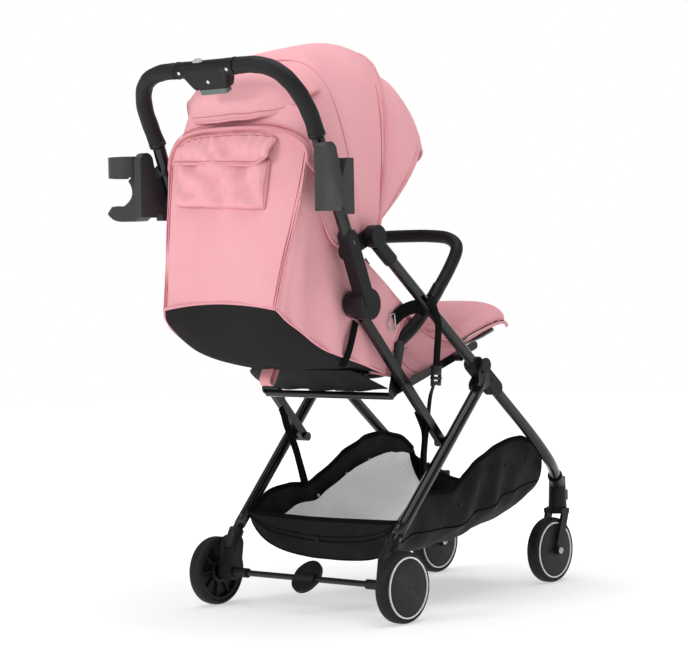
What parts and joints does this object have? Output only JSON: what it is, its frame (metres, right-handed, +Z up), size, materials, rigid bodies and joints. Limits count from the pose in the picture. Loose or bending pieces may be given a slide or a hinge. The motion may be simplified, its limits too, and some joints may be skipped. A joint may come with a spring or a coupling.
{
  "type": "baby stroller",
  "caption": "Compact folding baby stroller with a pink padded seat and canopy, black tube frame, small double-sided wheels, mesh basket, bumper bar and cup holder.",
  "frame": {"origin": "middle of the footprint box, on the ground", "axes": "+Z up; the child faces -Y; +X is the child's left, where the cup holder is"},
  "size_m": [0.569, 0.9335, 1.0996],
  "materials": {
    "frame_black": "satin black powder coat",
    "black_plastic": "fine-grained moulded plastic",
    "grey_plastic": "mid-grey moulded plastic",
    "foam_grip": "closed-cell foam sleeve",
    "tyre_rubber": "smooth black tread",
    "hub_white": "moulded hub with a pale rim band",
    "bright_steel": "drawn steel rod",
    "pink_fabric": "padded woven polyester",
    "black_fabric": "black webbing and backing cloth",
    "grey_mesh": "open mesh over a black rim"
  },
  "bodies": {
    "root": {"front_leg_right": "frame_black", "leg_cap_right": "black_plastic", "leg_bracket_right": "black_plastic", "caster_housing_right": "black_plastic", "basket_strap_right": "black_fabric", "seat_rail_right": "frame_black", "side_strap_right": "black_fabric", "front_leg_left": "frame_black", "leg_cap_left": "black_plastic", "leg_bracket_left": "black_plastic", "caster_housing_left": "black_plastic", "basket_strap_left": "black_fabric", "seat_rail_left": "frame_black", "side_strap_left": "black_fabric", "seat_cross_tube": "frame_black", "seat_pad": "pink_fabric", "harness_buckle": "black_plastic", "basket": "grey_mesh"},
    "handle": {"handle_upright_right": "black_plastic", "handle_grip_right": "foam_grip", "accessory_mount_right": "grey_plastic", "handle_upright_left": "black_plastic", "handle_grip_left": "foam_grip", "accessory_mount_left": "grey_plastic", "handle_housing": "black_plastic", "cup_holder": "grey_plastic", "canopy_rear": "pink_fabric", "canopy_bow_mid": "bright_steel"},
    "rear_frame": {"rear_leg_right": "frame_black", "axle_housing_right": "black_plastic", "rear_axle_right": "bright_steel", "rear_leg_left": "frame_black", "axle_housing_left": "black_plastic", "rear_axle_left": "bright_steel", "brake_bar": "frame_black"},
    "struts": {"strut_right": "frame_black", "strut_left": "frame_black"},
    "bumper": {"bumper_bar": "foam_grip"},
    "canopy_front": {"canopy_front": "pink_fabric", "canopy_bow_front": "bright_steel"},
    "backrest": {"seat_bucket": "pink_fabric", "backrest_board": "black_fabric", "rear_pocket": "pink_fabric"},
    "calf_rest": {"calf_rest": "pink_fabric"},
    "pedal": {"brake_pedal": "black_plastic"},
    "trigger": {"fold_trigger": "grey_plastic"},
    "slider": {"lock_slider": "grey_plastic"},
    "lock_right": {"swivel_lock_right": "grey_plastic"},
    "caster_right": {"caster_fork_right": "black_plastic"},
    "front_wheel_right": {"front_tyre_right": "tyre_rubber", "front_hub_right": "hub_white"},
    "rear_wheel_right": {"rear_tyre_right": "tyre_rubber", "rear_hub_right": "hub_white"},
    "lock_left": {"swivel_lock_left": "grey_plastic"},
    "caster_left": {"caster_fork_left": "black_plastic"},
    "front_wheel_left": {"front_tyre_left": "tyre_rubber", "front_hub_left": "hub_white"},
    "rear_wheel_left": {"rear_tyre_left": "tyre_rubber", "rear_hub_left": "hub_white"}
  },
  "joints": [
    {"name": "frame_fold", "type": "hinge", "parent": "root", "child": "handle", "pos_m": [-0.033, 0.2222, 0.717], "axis": [1, 0, 0], "range_deg": [0, 151], "deforming": ["seat_bucket", "rear_pocket", "canopy_rear", "canopy_front", "canopy_bow_mid", "canopy_bow_front", "basket_strap_right", "basket_strap_left", "side_strap_right", "side_strap_left"]},
    {"name": "rear_leg_fold", "type": "hinge", "parent": "root", "child": "rear_frame", "pos_m": [-0.033, -0.0963, 0.4637], "axis": [1, 0, 0], "range_deg": [0, 76.5]},
    {"name": "strut_turn", "type": "hinge", "parent": "rear_frame", "child": "struts", "pos_m": [-0.033, -0.0044, 0.3195], "axis": [1, 0, 0], "range_deg": [-64, 0]},
    {"name": "bumper_fold", "type": "hinge", "parent": "root", "child": "bumper", "pos_m": [-0.033, 0.1002, 0.508], "axis": [1, 0, 0], "range_deg": [-101, 0]},
    {"name": "canopy_fold", "type": "hinge", "parent": "handle", "child": "canopy_front", "pos_m": [-0.033, 0.2222, 0.717], "axis": [1, 0, 0], "range_deg": [-40, 0]},
    {"name": "backrest_recline", "type": "hinge", "parent": "root", "child": "backrest", "pos_m": [-0.033, 0.1202, 0.431], "axis": [-1, 0, 0], "range_deg": [-32, 0]},
    {"name": "calf_rest_hinge", "type": "hinge", "parent": "root", "child": "calf_rest", "pos_m": [-0.033, -0.1078, 0.499], "axis": [-1, 0, 0], "range_deg": [-75, 0]},
    {"name": "caster_swivel_right", "type": "hinge", "parent": "root", "child": "caster_right", "pos_m": [-0.183, -0.4298, 0.147], "axis": [0, 0, 1], "continuous": true},
    {"name": "front_wheel_spin_right", "type": "hinge", "parent": "caster_right", "child": "front_wheel_right", "pos_m": [-0.183, -0.3998, 0.067], "axis": [1, 0, 0], "continuous": true},
    {"name": "rear_wheel_spin_right", "type": "hinge", "parent": "rear_frame", "child": "rear_wheel_right", "pos_m": [-0.267, 0.2002, 0.067], "axis": [1, 0, 0], "continuous": true},
    {"name": "swivel_lock_slide_right", "type": "slide", "parent": "root", "child": "lock_right", "axis": [0, 0, 1], "range_m": [-0.006, 0]},
    {"name": "caster_swivel_left", "type": "hinge", "parent": "root", "child": "caster_left", "pos_m": [0.117, -0.4298, 0.147], "axis": [0, 0, 1], "continuous": true},
    {"name": "front_wheel_spin_left", "type": "hinge", "parent": "caster_left", "child": "front_wheel_left", "pos_m": [0.117, -0.3998, 0.067], "axis": [1, 0, 0], "continuous": true},
    {"name": "rear_wheel_spin_left", "type": "hinge", "parent": "rear_frame", "child": "rear_wheel_left", "pos_m": [0.201, 0.2002, 0.067], "axis": [1, 0, 0], "continuous": true},
    {"name": "swivel_lock_slide_left", "type": "slide", "parent": "root", "child": "lock_left", "axis": [0, 0, 1], "range_m": [-0.006, 0]},
    {"name": "brake_press", "type": "hinge", "parent": "rear_frame", "child": "pedal", "pos_m": [-0.033, 0.2002, 0.067], "axis": [1, 0, 0], "range_deg": [-16, 0]},
    {"name": "trigger_pull", "type": "slide", "parent": "handle", "child": "trigger", "axis": [0, 0.51, 0.8602], "range_m": [0, 0.004]},
    {"name": "lock_slide", "type": "slide", "parent": "handle", "child": "slider", "axis": [1, 0, 0], "range_m": [0, 0.006]}
  ],
  "couplings": [
    {"joint": "rear_leg_fold", "follows": "frame_fold", "ratio": 0.502},
    {"joint": "strut_turn", "follows": "frame_fold", "ratio": -0.419},
    {"joint": "bumper_fold", "follows": "frame_fold", "ratio": -0.66}
  ]
}
